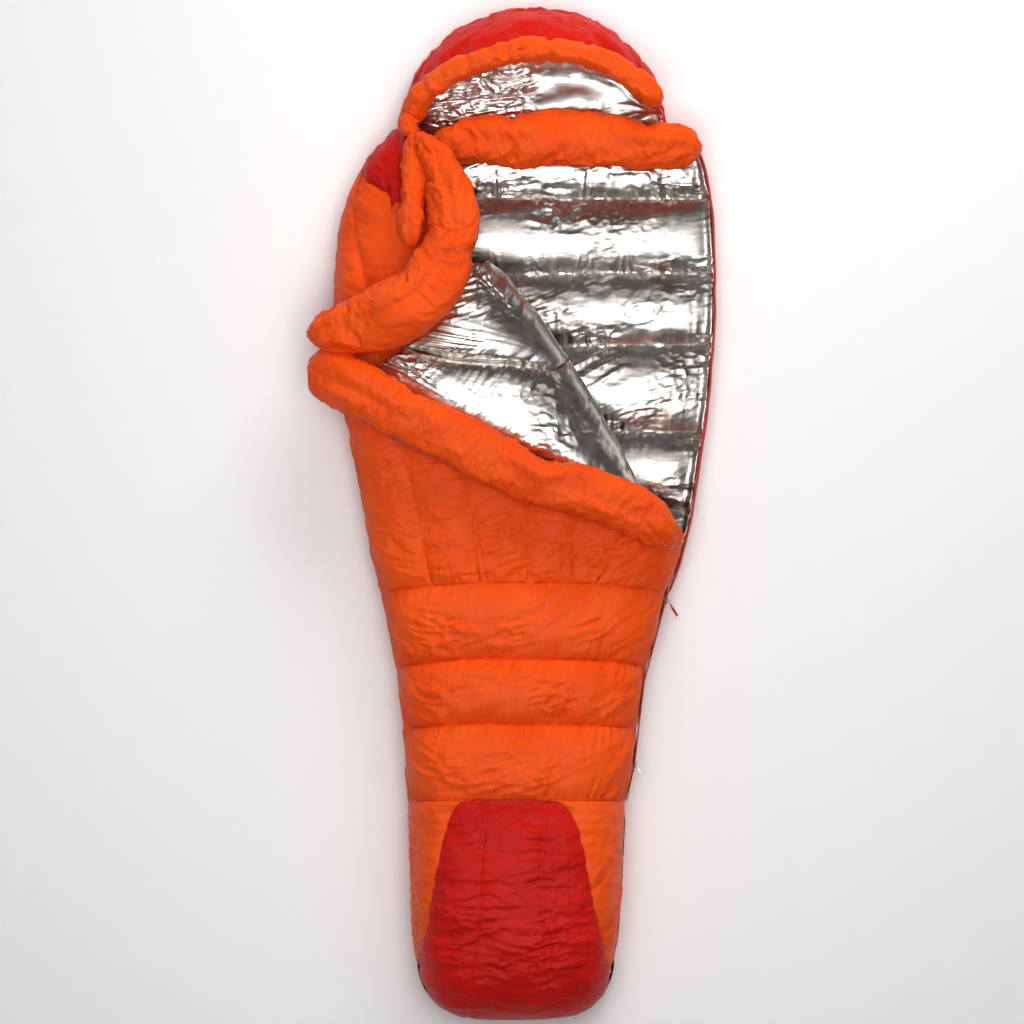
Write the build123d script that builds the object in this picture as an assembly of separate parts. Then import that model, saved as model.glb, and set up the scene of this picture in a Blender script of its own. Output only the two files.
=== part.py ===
from build123d import *
import os
from math import atan2, cos, degrees, hypot, pi, radians, sin, tan

# Mummy sleeping bag, lying on its back with its front flap folded open. Millimetres.
# +Y is the head end, +Z is up, and the origin is on the floor under the middle of the box.

os.makedirs("parts", exist_ok=True)

# Plan of the bag: (y, x) of its right and left edges, from the neck to the toes
RIGHT_EDGE = [(790, 366), (725, 397), (643, 413), (500, 420), (380, 418), (231, 407), (120, 389),
              (-30, 368), (-110, 345), (-175, 320), (-352, 273), (-529, 252), (-600, 237),
              (-760, 229), (-880, 221), (-964, 206), (-1005, 190), (-1036, 146), (-1049, 90)]
LEFT_EDGE = [(790, -268), (684, -330), (601, -358), (478, -369), (354, -369), (231, -352),
             (66, -319), (-99, -290), (-181, -268), (-346, -237), (-511, -220), (-676, -212),
             (-882, -206), (-964, -190), (-1016, -171), (-1036, -124), (-1049, -70)]
# Height of the front panel's crest along the bag, as (y, z)
CREST = [(790, 150), (600, 160), (300, 165), (0, 165), (-146, 172), (-450, 188), (-606, 205),
         (-700, 226), (-800, 236), (-930, 226), (-985, 198), (-1025, 150), (-1049, 84)]

BACK_LOFT = 50        # height of a back chamber at its middle
BACK_SEAM_LOFT = 28   # and at its seams
BASE = 54             # height at which the front panel stands on the back panel
FRONT_LOFT = 46       # thickness of the front panel
SEAM_PINCH = 11       # how far the front panel dips at a crosswise seam
SIDE_INSET = 7        # the front panel stands this far inside the back panel's edge
GAP = 1               # half of the gap between two chambers, which the baffle wall stands in
CLOTH = 0.6           # thickness of a lining or a baffle wall as modelled
LINING_DROP = 5       # the front lining hangs this far under its chambers
DOME_POWER = 3.2      # roundness of the front panel's cross-section, 2 being an ellipse
DOME_STEPS = 8

BACK_SEAMS = [785, 653, 494, 348, 167, 4, -146, -315, -451, -606]
FRONT_SEAMS = [-146, -315, -451, -606]
NECK_Y = 785          # top of the back panel
CHEST_TOP = 770       # top of the front panel
FOOT_Y = -606
SOLE_Y = -931
TOE_Y = -1049
CAVITY_END_Y = -985

# The flap folds about a straight line from the left shoulder to the top of the closed zip
FOLD_TOP = Vector(-169, 663, 168)
FOLD_END = Vector(335, -62, 116)
FOLD_GAP = 6          # the front panel stops this far short of the fold line
FOLD_END_GAP = 18     # and this far at the shoulder and the zip, where the folded flap is bulkiest
FLAP_LIFT = 3         # the flap lies this far above the front panel
FLAP_LOFT = 46
COLLAR_SPLIT = (82, 93)   # along the fold: end of the fixed collar, start of the flap's collar

# Seams between the lengthwise chambers of the chest, each from its foot to its head, as (x, y)
CHEST_SEAMS = [[(-165, -147), (-216, 82), (-299, 449), (-307, 660)],
               [(-68, -147), (-93, 60), (-165, 655), (-192, 790)],
               [(29, -147), (37, 16), (53, 328)],
               [(119, -147), (134, -12), (156, 173)],
               [(171, -147), (229, -60), (270, 1)]]
YOKE_SEAM = [(-470, 711), (-311, 711), (-255, 643), (-239, 597), (-150, 597)]

# Hood: an ellipsoid about this centre
HOOD_CENTRE = (45, 800)
HOOD_RADII = (275, 249, 215)
HOOD_WALL = 44
BRIM_R = 24
BRIM = [(-206, 822, 94), (-176, 868, 114), (-90, 919, 138), (37, 946, 150), (177, 929, 146),
        (262, 880, 137), (305, 838, 130)]
HOOD_AXIS_Y = 793
HOOD_TOP_Y = 1100     # beyond the hood's top

# Zip
ZIP_Z = 52
ROW_INNER, ROW_OUTER = 0.8, 3.2     # a row of teeth, from the zip's middle line
ROW_DEPTH = 3
TAPE_EDGE = 14
TAPE_THICK = 0.8
CHAIN_TOP, CHAIN_KNEE, CHAIN_END, ZIP_END = (321, -175), (274, -352), (253, -529), (238, -600)
SLIDER_BACKSET = 9    # the upper slider's middle, below the top of the closed chain
PIN_REACH = 6         # the pull's pin, outward from the chain
PIN_R = 0.8

# The upper pull lies out from the pin at this angle in plan. Its cord's route is given as
# (distance out, distance aside, height).
PULL_ANGLE = -57
PULL_ARM = 6.5
CORD_R = 1.3
CORD_ROUTE = [(6.6, 0, 52), (11, 0, 51.8), (12.7, 0.9, 43.5), (11.9, 0.4, 32), (12.3, -0.5, 21.5),
              (12.8, 0, 13.0), (17, 0, 11.3)]
GRIP_TIP = (37.5, 0, 2.9)
GRIP_R = 2.5
LOWER_TAB_ANGLE = -65.6
LOWER_TAB_LENGTH = 22


def along(table, y):
    """Value at y of a list of (y, value) that runs towards the feet."""
    if y >= table[0][0]:
        return table[0][1]
    for (y0, v0), (y1, v1) in zip(table, table[1:]):
        if y >= y1:
            return v0 + (v1 - v0) * (y0 - y) / (y0 - y1)
    return table[-1][1]


def rounded_power(value):
    return abs(value) ** (2 / DOME_POWER) * (1 if value >= 0 else -1)


def dome_frame(y, grow=0):
    """Centre, half width and height over BASE of the front panel's section at y."""
    left, right = along(LEFT_EDGE, y) + SIDE_INSET, along(RIGHT_EDGE, y) - SIDE_INSET
    return (left + right) / 2, (right - left) / 2 + grow, along(CREST, y) - BASE + grow


def crown_height(x, y):
    """Height of the front panel's outside over a point of the plan."""
    centre, half, height = dome_frame(y)
    reach = min(1, abs(x - centre) / half)
    return BASE + height * (1 - reach ** DOME_POWER) ** (1 / DOME_POWER)


def cross_plane(y):
    return Plane(origin=(0, y, 0), x_dir=(1, 0, 0), z_dir=(0, -1, 0))


def dome_section(y, grow=0, base=BASE):
    """The front panel's section at y, with upright sides below BASE down to base."""
    centre, half, height = dome_frame(y, grow)
    points = []
    for step in range(DOME_STEPS + 1):
        angle = pi * step / DOME_STEPS
        points.append((centre + half * rounded_power(cos(angle)), BASE + height * rounded_power(sin(angle))))
    feet = [points[-1], points[0]]
    if base < BASE:
        feet = [points[-1], (points[-1][0], base), (points[0][0], base), points[0]]
    return cross_plane(y) * make_face(Spline(points) + Polyline(*feet))


def dome(ys, grow=0, base=BASE):
    return loft([dome_section(y, grow, base) for y in ys])


def arch(ys, outer, inner):
    """Front panel between two offsets from its outside."""
    hollow_ys = [ys[0] + 2] + ys[1:-1] + [ys[-1] - 2]
    return dome(ys, outer) - dome(hollow_ys, inner, BASE - 4)


def bar_section(y, left, right, low, high):
    height = high - low
    outline = RectangleRounded(right - left, height, 0.45 * height)
    return cross_plane(y) * (Pos((left + right) / 2, (low + high) / 2) * outline)


def slab(foot_y, head_y, low, high):
    """Block right across the bag, between two y values and two heights."""
    return Pos(0, (foot_y + head_y) / 2, (low + high) / 2) * Box(1400, head_y - foot_y, high - low)


def prism(outline, low=-50, high=500):
    face = make_face(Polyline(*outline, close=True))
    return Pos(0, 0, low) * extrude(face, amount=high - low, dir=(0, 0, 1))


def ellipsoid(radii, centre):
    return Pos(*centre) * scale(Sphere(1), by=radii)


def puffed_tube(stations):
    """Soft tube through stations of (x, y, middle z, width, height)."""
    sections = []
    for i, (x, y, z, width, height) in enumerate(stations):
        before, after = stations[max(i - 1, 0)], stations[min(i + 1, len(stations) - 1)]
        heading = Vector(after[0] - before[0], after[1] - before[1], 0).normalized()
        plane = Plane(origin=(x, y, z), x_dir=(heading.Y, -heading.X, 0), z_dir=heading)
        sections.append(plane * Ellipse(width / 2, height / 2))
    return loft(sections)


def ribbon(points, thick, low, high):
    """Upright strip along a plan route, between two heights; points may carry a z of their own."""
    sections = []
    for i, point in enumerate(points):
        before, after = points[max(i - 1, 0)], points[min(i + 1, len(points) - 1)]
        heading = Vector(after[0] - before[0], after[1] - before[1], 0).normalized()
        lift = point[2] if len(point) > 2 else 0
        origin = (point[0], point[1], lift + (low + high) / 2)
        plane = Plane(origin=origin, x_dir=(heading.Y, -heading.X, 0), z_dir=heading)
        sections.append(plane * Rectangle(thick, high - low))
    return loft(sections, ruled=True)


def beside(points, shift):
    return [(x + shift, y) for x, y in points]


def fold_point(distance, offset=0):
    """Plan point at a distance along the fold line, offset to its right."""
    way = Vector(FOLD_END.X - FOLD_TOP.X, FOLD_END.Y - FOLD_TOP.Y, 0).normalized()
    return (FOLD_TOP.X + way.X * distance - way.Y * offset, FOLD_TOP.Y + way.Y * distance + way.X * offset)


FOLD_LENGTH = hypot(FOLD_END.X - FOLD_TOP.X, FOLD_END.Y - FOLD_TOP.Y)
OPEN_SIDE = [fold_point(0, -FOLD_END_GAP), fold_point(150, -FOLD_END_GAP), fold_point(210, -FOLD_GAP),
             fold_point(700, -FOLD_GAP), fold_point(FOLD_LENGTH, -FOLD_END_GAP),
             (470, -100), (470, 810), (-196, 810), (-196, 720)]
REACH = 600           # half-size of the blocks that trim the tubes at the fold


def across_fold(low, high):
    """Block that holds everything between two distances along the fold line."""
    return prism([fold_point(low, -REACH), fold_point(low, REACH), fold_point(high, REACH),
                  fold_point(high, -REACH)])


# ---- back panel

def back_chamber(head, foot):
    middle = (head + foot) / 2
    sections = []
    for y, loft_height in ((head, BACK_SEAM_LOFT), (middle, BACK_LOFT), (foot, BACK_SEAM_LOFT)):
        sections.append(bar_section(y, along(LEFT_EDGE, y), along(RIGHT_EDGE, y), -3, loft_height))
    return loft(sections) & slab(TOE_Y, NECK_Y, 0, 500)


def back_panel():
    nodes = {}
    for i, (head, foot) in enumerate(zip(BACK_SEAMS, BACK_SEAMS[1:])):
        nodes[f"back_chamber_{i + 1}"] = back_chamber(head - GAP, foot + GAP)
    walls = Part()
    for y in BACK_SEAMS[1:]:
        left, right = along(LEFT_EDGE, y) + 20, along(RIGHT_EDGE, y) - 20
        wall = Pos((left + right) / 2, y, BACK_SEAM_LOFT / 2) * Box(right - left, CLOTH, BACK_SEAM_LOFT - 2)
        walls += wall
    nodes["back_baffles"] = walls
    inset = 30
    ys = [760, 640, 480, 231, 0, -175, -352, -529, -700, -900]
    right_side = [(along(RIGHT_EDGE, y) - inset, y) for y in ys]
    left_side = [(along(LEFT_EDGE, y) + inset, y) for y in reversed(ys)]
    floor = BACK_LOFT + CLOTH
    nodes["back_lining"] = prism(right_side + left_side, floor, floor + CLOTH)
    return nodes


# ---- front panel

def front_chambers():
    nodes = {}
    for i, (head, foot) in enumerate(zip(FRONT_SEAMS, FRONT_SEAMS[1:])):
        head, foot = head - GAP, foot + GAP
        middle = (head + foot) / 2
        ends = dome_section(head, -SEAM_PINCH), dome_section(foot, -SEAM_PINCH)
        outside = loft([ends[0], dome_section(middle), ends[1]])
        nodes[f"front_chamber_{i + 1}"] = outside - dome([head + 2, middle, foot - 2], -FRONT_LOFT, BASE - 4)
    walls = Part()
    for y in FRONT_SEAMS:
        ring = dome_section(y + CLOTH / 2, -SEAM_PINCH - 2) - dome_section(y + CLOTH / 2, 2 - FRONT_LOFT)
        walls += extrude(ring, amount=CLOTH, dir=(0, -1, 0))
    nodes["front_baffles"] = walls
    return nodes


CHEST_YS = [CHEST_TOP, 640, 450, 230, 0, FRONT_SEAMS[0] + GAP]


def chest():
    shell = arch(CHEST_YS, 0, -FRONT_LOFT) - prism(OPEN_SIDE)
    top_corners = [(-150, 810), (-470, 810)]
    nodes = {"shoulder_yoke": shell & prism(YOKE_SEAM + top_corners)}
    yoke_and_gap = [(x - GAP, y - GAP) for x, y in YOKE_SEAM] + [(-148, 596), (-148, 810), (-472, 810)]
    below_yoke = shell - prism(yoke_and_gap)
    left, right = [(-470, -147), (-470, 800)], [(470, -147), (470, 10)]
    seams = [left] + CHEST_SEAMS + [right]
    for i, (one, other) in enumerate(zip(seams, seams[1:])):
        wedge = prism(beside(one, GAP) + list(reversed(beside(other, -GAP))))
        nodes[f"chest_chamber_{i + 1}"] = below_yoke & wedge
    core = arch(CHEST_YS, -2, 2 - FRONT_LOFT) - prism(OPEN_SIDE)
    walls = Part()
    for seam in CHEST_SEAMS:
        strip = prism(beside(seam, -CLOTH / 2) + list(reversed(beside(seam, CLOTH / 2))))
        walls += core & strip & prism([(-470, 590), (470, 590), (470, -143), (-470, -143)])
    nodes["chest_baffles"] = walls
    return nodes


def front_lining():
    """Thin skins under the front panel: one over the chest, one over the legs and feet."""
    outer = -FRONT_LOFT - LINING_DROP
    chest_skin = arch(CHEST_YS, outer, outer - CLOTH) - prism(OPEN_SIDE)
    leg_ys = [-147, -230, -314, -383, -451, -529, FOOT_Y, -700, -800, -870, -925]
    leg_skin = arch(leg_ys, outer, outer - CLOTH)
    return {"chest_lining": chest_skin, "leg_lining": leg_skin}


# ---- footbox

CENTRE_PANEL = [(-107, -500), (100, -500), (200, -940), (-198, -940)]


def footbox():
    nodes = {}
    ys = [FOOT_Y - GAP, -700, -800, -870, SOLE_Y + GAP]
    shell = arch(ys, 0, -FRONT_LOFT)
    centre_cut = prism(CENTRE_PANEL)
    wide = [(CENTRE_PANEL[0][0] - 2, -500), (CENTRE_PANEL[1][0] + 2, -500),
            (CENTRE_PANEL[2][0] + 2, -940), (CENTRE_PANEL[3][0] - 2, -940)]
    sides = shell - prism(wide)
    nodes["foot_centre_panel"] = shell & centre_cut
    left_half = prism([(-470, TOE_Y), (0, TOE_Y), (0, FOOT_Y), (-470, FOOT_Y)])
    nodes["foot_side_left"] = sides & left_half
    nodes["foot_side_right"] = sides - left_half
    heights = [(FOOT_Y - GAP, BACK_SEAM_LOFT), ((FOOT_Y + SOLE_Y) / 2, BACK_LOFT), (SOLE_Y + GAP, 38)]
    sections = [bar_section(y, along(LEFT_EDGE, y) + 2, along(RIGHT_EDGE, y) - 2, -3, height)
                for y, height in heights]
    nodes["foot_back"] = loft(sections) & slab(TOE_Y, NECK_Y, 0, 500)
    cap = dome([SOLE_Y - GAP, CAVITY_END_Y, -1025, TOE_Y], 0, 0)
    toe_room = [SOLE_Y + 4, (SOLE_Y + CAVITY_END_Y) / 2, CAVITY_END_Y]
    nodes["foot_sole"] = cap - dome(toe_room, -FRONT_LOFT, BACK_LOFT)
    return nodes


# ---- neck

def resting(x, y, width, height, lift=4):
    """Station of a soft tube that lies on the front panel."""
    under = max(crown_height(x - width / 3, y), crown_height(x, y), crown_height(x + width / 3, y))
    return (x, y, under + lift + height / 2, width, height)


def neck():
    nodes = {}
    collar = [(-166, 754, 56, 46), (-125, 758, 96, 60), (0, 768, 108, 66), (150, 766, 108, 66),
              (280, 760, 100, 64), (350, 752, 84, 58), (390, 748, 46, 40)]
    stations = [(x, y, BASE + 2 + height / 2, width, height) for x, y, width, height in collar]
    nodes["back_collar"] = puffed_tube(stations)
    nodes["neck_tube"] = puffed_tube([resting(-200, 752, 34, 40), resting(-200, 700, 44, 52),
                                      resting(-203, 640, 46, 56), resting(-206, 585, 46, 54),
                                      resting(-207, 545, 30, 36)])
    upper = [(-163, 742, 30, 34), (-150, 712, 54, 56), (-138, 676, 74, 74), (-128, 636, 90, 84),
             (-122, 560, 92, 84)]
    tube = puffed_tube([(x, y, 157 + height / 2, width, height) for x, y, width, height in upper])
    nodes["left_collar"] = tube & across_fold(-400, COLLAR_SPLIT[0])
    return nodes


# ---- flap

FLAP_SEAM = [(-222, 334), (-107, 311), (16, 303), (81, 287)]
UPPER_CHAMBER = [(-68, 503), (-86, 498), (-120, 430), (-170, 372), (-222, 334 + GAP)]
LOWER_EDGE = [(-258, 308), (-165, 242), (-23, 186), (115, 138), (206, 96)]
FLAP_TIP = 712        # along the fold, where the flap's chambers end


def flap():
    nodes = {}
    body = arch(CHEST_YS, FLAP_LIFT + FLAP_LOFT, FLAP_LIFT)
    upper = UPPER_CHAMBER + [(x, y + GAP) for x, y in FLAP_SEAM[1:-1]] + [fold_point(450, -4)]
    lower = [(x, y - GAP) for x, y in FLAP_SEAM] + [fold_point(462, -4), fold_point(FLAP_TIP, -4)]
    nodes["flap_chamber_1"] = body & prism(upper)
    nodes["flap_chamber_2"] = body & prism(lower + list(reversed(LOWER_EDGE)))
    skin = arch(CHEST_YS, FLAP_LIFT + FLAP_LOFT + LINING_DROP + CLOTH, FLAP_LIFT + FLAP_LOFT + LINING_DROP)
    whole = UPPER_CHAMBER[:4] + [FLAP_SEAM[0]] + LOWER_EDGE + [fold_point(FLAP_TIP, -4), fold_point(225, -4)]
    nodes["flap_lining"] = skin & prism(whole)
    collar = [resting(-114, 590, 88, 84), resting(-126, 552, 96, 88), resting(-146, 505, 108, 92),
              resting(-182, 452, 118, 96), resting(-244, 408, 116, 96), (-310, 388, 182, 98, 86),
              (-365, 372, 166, 72, 72), (-415, 364, 150, 34, 40)]
    nodes["flap_collar"] = puffed_tube(collar) & across_fold(COLLAR_SPLIT[1], 1200)
    draft = [(-414, 304, 140, 34, 40), (-375, 286, 156, 72, 70), resting(-320, 252, 84, 70, 8),
             resting(-231, 200, 88, 70, 8), resting(-97, 134, 88, 70, 8), resting(16, 91, 86, 70, 8),
             resting(130, 52, 84, 70, 8), resting(*fold_point(770, -20), 66, 62, 8),
             resting(*fold_point(830, -12), 46, 50, 8), resting(*fold_point(868, -6), 24, 30, 8)]
    nodes["flap_draft_tube"] = puffed_tube(draft)
    edge = [(-250, 157), (-105, 88), (2, 44), (110, 8), (205, -26)]
    edge = [(x, y, crown_height(x, y)) for x, y in edge]
    nodes["flap_zip_tape"] = ribbon(edge, TAPE_THICK, 4, 15)
    nodes["flap_zip_teeth"] = ribbon([(x + 3, y - 6, z) for x, y, z in edge], ROW_DEPTH, 6, 8.4)
    return nodes


def fold_roll():
    """The front panel bending round the fold, from its edge up to the flap's."""
    stations = []
    for distance, width, height in ((150, 24, 50), (215, 44, 84), (330, 56, 94), (476, 70, 94),
                                    (620, 52, 90), (700, 20, 60)):
        x, y = fold_point(distance)
        stations.append((x, y, crown_height(x, y) + FLAP_LIFT / 2, width, height))
    right_side = prism([fold_point(100, -2), fold_point(100, 100), fold_point(800, 100), fold_point(800, -2)])
    return {"fold_roll": puffed_tube(stations) & right_side}


# ---- hood

def grown_hood(grow):
    return ellipsoid(tuple(float(radius + grow) for radius in HOOD_RADII), (*HOOD_CENTRE, 0))


def hood():
    nodes = {}
    over = BRIM_R + 9
    rim = []
    for i, (x, y, z) in enumerate(BRIM):
        before, after = BRIM[max(i - 1, 0)], BRIM[min(i + 1, len(BRIM) - 1)]
        way = Vector(after[0] - before[0], after[1] - before[1], 0).normalized()
        rim.append((x - way.Y * over, y + way.X * over))
    face_cut = prism([(rim[0][0], 700)] + rim + [(rim[-1][0], 700)], BACK_LOFT + 2, 400)
    outside = grown_hood(0) & slab(HOOD_AXIS_Y + 5, HOOD_TOP_Y, 0, 400)
    nodes["hood_back"] = outside & slab(HOOD_AXIS_Y, HOOD_TOP_Y, 0, BACK_LOFT)
    above = slab(HOOD_AXIS_Y, HOOD_TOP_Y, BACK_LOFT + 2, 400)
    nodes["hood_crown"] = (outside & above) - grown_hood(-HOOD_WALL) - face_cut
    lining_floor, lining_y = BACK_LOFT + 2 * CLOTH, HOOD_AXIS_Y + 27
    hollow = grown_hood(-HOOD_WALL - CLOTH) & slab(lining_y, HOOD_TOP_Y, lining_floor, 400)
    core = grown_hood(-HOOD_WALL - 2 * CLOTH) & slab(HOOD_AXIS_Y, HOOD_TOP_Y, lining_floor + CLOTH, 400)
    lining_cut = prism([(rim[0][0], 700)] + rim + [(rim[-1][0], 700)], 60, 400)
    nodes["hood_lining"] = hollow - core - lining_cut
    stations = [(x, y, z, 2 * BRIM_R, 2 * BRIM_R) for x, y, z in BRIM]
    nodes["hood_brim"] = puffed_tube(stations)
    return nodes


# ---- zip

def zip_route(top, end):
    """Plan route of the zip just outside the right edge, between two y values."""
    return [(x + 1, y) for y, x in RIGHT_EDGE if end <= y <= top]


def zip_parts():
    nodes = {}
    junction = (CHAIN_TOP[0] + 0.3, CHAIN_TOP[1] + 1)
    open_route = zip_route(NECK_Y - 5, CHAIN_TOP[1] + 10) + [junction]
    closed_route = [CHAIN_TOP, CHAIN_KNEE, CHAIN_END]
    lower_row, upper_row = (ZIP_Z - ROW_OUTER, ZIP_Z - ROW_INNER), (ZIP_Z + ROW_INNER, ZIP_Z + ROW_OUTER)
    lower_tape, upper_tape = (ZIP_Z - TAPE_EDGE, ZIP_Z - ROW_OUTER), (ZIP_Z + ROW_OUTER, ZIP_Z + TAPE_EDGE)
    nodes["back_zip_teeth"] = ribbon(open_route, ROW_DEPTH, *lower_row)
    nodes["back_zip_tape"] = ribbon(open_route, TAPE_THICK, *lower_tape)
    nodes["front_zip_tape"] = ribbon([(331, -148), junction], TAPE_THICK, *upper_tape)
    lower_teeth = ribbon(closed_route, ROW_DEPTH, *lower_row)
    nodes["closed_zip_teeth"] = lower_teeth + ribbon(closed_route, ROW_DEPTH, *upper_row)
    tape_route = closed_route + [ZIP_END]
    lower_edge = ribbon(tape_route, TAPE_THICK, *lower_tape)
    nodes["closed_zip_tapes"] = lower_edge + ribbon(tape_route, TAPE_THICK, *upper_tape)
    turn = degrees(atan2(open_route[0][1] - open_route[1][1], open_route[0][0] - open_route[1][0])) - 90
    stop_y = 4
    spot = Location((open_route[0][0], open_route[0][1] + stop_y / 2, ZIP_Z - 2), (0, 0, turn))
    nodes["zip_top_stop"] = spot * Box(ROW_DEPTH, stop_y - 1, 3)
    return nodes


def heading(start, end):
    return degrees(atan2(end[1] - start[1], end[0] - start[0]))


def chain_spot(start, end, distance):
    """Place on the chain, turned so that local X points outward and local Y up the chain."""
    way = Vector(end[0] - start[0], end[1] - start[1], 0).normalized()
    turn = heading(end, start) - 90
    return Location((start[0] + way.X * distance, start[1] + way.Y * distance, ZIP_Z), (0, 0, turn))


def slider(mouth):
    """Slider about the chain's middle line; mouth is the side that the post is on, 1 up the chain."""
    plate = extrude(Plane.YZ * RectangleRounded(14, 11, 3.5), amount=0.8, both=True)
    body = Pos(2.9, 0, 0) * plate + Pos(-2.9, 0, 0) * plate
    body += Pos(0, 4.5 * mouth, 0) * Box(4.6, 3, 1)
    for side in (1, -1):
        body += Pos(5.2, 0, 2.6 * side) * Box(3.4, 3, 1.2)
    return body + Pos(PIN_REACH, 0, 0) * Cylinder(PIN_R, 6)


def eye():
    """Ring about the slider's pin, with its own axis at the origin."""
    return Cylinder(2, 3.6) - Cylinder(PIN_R + 0.25, 3.6)


def pin_spot(place, angle):
    pin = place * Location((PIN_REACH, 0, 0))
    return Location((pin.position.X, pin.position.Y, ZIP_Z), (0, 0, angle))


def arc_radii(points):
    """Largest corner radii that the runs allow, 0.45 of the shorter run over tan of half the turn."""
    radii = []
    for before, here, after in zip(points, points[1:], points[2:]):
        run_in, run_out = here - before, after - here
        half_turn = radians(run_in.get_angle(run_out)) / 2
        radii.append(0.45 * min(run_in.length, run_out.length) / tan(half_turn))
    return radii


def sliders():
    nodes = {}
    upper = chain_spot(CHAIN_TOP, CHAIN_KNEE, SLIDER_BACKSET)
    lower_run = hypot(CHAIN_END[0] - CHAIN_KNEE[0], CHAIN_END[1] - CHAIN_KNEE[1])
    lower = chain_spot(CHAIN_KNEE, CHAIN_END, lower_run - 4)
    nodes["upper_slider_body"] = upper * slider(1)
    nodes["lower_slider_body"] = lower * slider(-1)
    pin = pin_spot(upper, PULL_ANGLE)
    arm = Pos((PULL_ARM + 1.7) / 2, 0, 0) * Box(PULL_ARM - 1.7, 1.4, 3.6)
    nodes["upper_pull_eye"] = pin * (eye() + arm)
    route = [Vector(out, aside, z - ZIP_Z) for out, aside, z in CORD_ROUTE]
    radii = arc_radii(route)
    print("pull cord radii:", [round(radius, 1) for radius in radii])
    path = FilletPolyline(*route, radius=radii)
    start = Plane(origin=route[0], z_dir=route[1] - route[0])
    cord = sweep(start * Circle(CORD_R), path=path)
    expected = pi * CORD_R ** 2 * path.length
    print("pull cord volume over section times length:", round(cord.volume / expected, 4))
    nodes["upper_pull_cord"] = pin * cord
    mouth, tip = route[-1], Vector(GRIP_TIP[0], GRIP_TIP[1], GRIP_TIP[2] - ZIP_Z)
    axis = Plane(origin=mouth, z_dir=tip - mouth)
    length = (tip - mouth).length
    grip = axis * (Pos(0, 0, length / 2) * Cylinder(GRIP_R, length))
    nodes["upper_pull_grip"] = pin * fillet(grip.edges(), 0.8)
    low_pin = pin_spot(lower, LOWER_TAB_ANGLE)
    neck_length = 5
    tab = Pos((neck_length + 1.7) / 2, 0, 0) * Box(neck_length - 1.7, 1.4, 3.6)
    blade = Plane.XZ * RectangleRounded(LOWER_TAB_LENGTH - neck_length, 6, 2)
    tab += Pos((LOWER_TAB_LENGTH + neck_length - 0.4) / 2, 0, 0) * extrude(blade, amount=0.7, both=True)
    hole = Pos(LOWER_TAB_LENGTH - 4.5, 0, 0) * Rot(90, 0, 0) * Cylinder(1.5, 4)
    nodes["lower_pull_tab"] = low_pin * (eye() + tab - hole)
    stop = chain_spot(CHAIN_END, ZIP_END, 8)
    nodes["zip_bottom_stop"] = stop * Box(4, 5, 6)
    for name, place in (("upper", upper), ("lower", lower)):
        middle = place.position
        hinge = pin_spot(place, 0).position
        print(name, "slider at", [round(v, 2) for v in (middle.X, middle.Y, middle.Z)],
              "pin at", [round(v, 2) for v in (hinge.X, hinge.Y, hinge.Z)])
    return nodes


model = {}
for group in (back_panel, front_chambers, chest, front_lining, footbox, neck, flap, fold_roll,
              hood, zip_parts, sliders):
    model.update(group())

for node, shape in model.items():
    export_step(shape, f"parts/{node}.step")
print(len(model), "nodes")
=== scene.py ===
from math import cos, pi, radians, sin

import bpy
import numpy as np
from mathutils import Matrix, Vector
from numpy.linalg import norm


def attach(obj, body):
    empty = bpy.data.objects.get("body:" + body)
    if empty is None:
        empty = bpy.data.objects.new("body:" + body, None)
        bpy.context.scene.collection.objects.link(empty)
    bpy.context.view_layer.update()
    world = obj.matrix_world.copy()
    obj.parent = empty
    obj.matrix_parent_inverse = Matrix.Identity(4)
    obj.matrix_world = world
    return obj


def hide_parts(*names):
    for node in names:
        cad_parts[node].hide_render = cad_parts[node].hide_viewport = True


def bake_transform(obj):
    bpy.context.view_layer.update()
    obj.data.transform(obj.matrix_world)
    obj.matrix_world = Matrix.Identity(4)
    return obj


# Mummy sleeping bag, lying on its back with its front flap folded open.
# Lengths below are in millimetres in the part's own frame, and become metres when a mesh is made.

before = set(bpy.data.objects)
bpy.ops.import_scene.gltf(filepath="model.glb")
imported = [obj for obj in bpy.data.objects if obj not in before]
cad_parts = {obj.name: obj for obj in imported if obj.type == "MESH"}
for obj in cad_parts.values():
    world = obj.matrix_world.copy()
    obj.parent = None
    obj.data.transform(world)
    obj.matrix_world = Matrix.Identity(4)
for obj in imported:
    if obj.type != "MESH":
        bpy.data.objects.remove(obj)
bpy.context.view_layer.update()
scene = bpy.context.scene
MM = 0.001


def add_object(name, data):
    obj = bpy.data.objects.new(name, data)
    scene.collection.objects.link(obj)
    return obj


# ---- shape of the bag, as in its CAD model

RIGHT_EDGE = [(790, 366), (725, 397), (643, 413), (500, 420), (380, 418), (231, 407), (120, 389),
              (-30, 368), (-110, 345), (-175, 320), (-352, 273), (-529, 252), (-600, 237),
              (-760, 229), (-880, 221), (-964, 206), (-1005, 190), (-1036, 146), (-1049, 90)]
LEFT_EDGE = [(790, -246), (766, -262), (725, -303), (684, -330), (601, -358), (478, -369), (354, -369),
             (231, -352), (66, -319), (-99, -290), (-181, -268), (-346, -237), (-511, -220), (-676, -212),
             (-882, -206), (-964, -190), (-1016, -171), (-1036, -124), (-1049, -70)]
CREST = [(790, 150), (600, 160), (300, 165), (0, 165), (-146, 172), (-450, 188), (-606, 205),
         (-700, 226), (-800, 236), (-930, 226), (-985, 198), (-1025, 150), (-1049, 84)]
BASE = 54             # height at which the front panel stands on the back panel
SIDE_INSET = 7
DOME_POWER = 3.2      # roundness of the front panel's section, 2 being an ellipse
BACK_SEAMS = [785, 653, 494, 348, 167, 4, -146, -315, -451, -606]
FOLD_TOP = np.array([-169, 663])
FOLD_END = np.array([335, -62])
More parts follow.
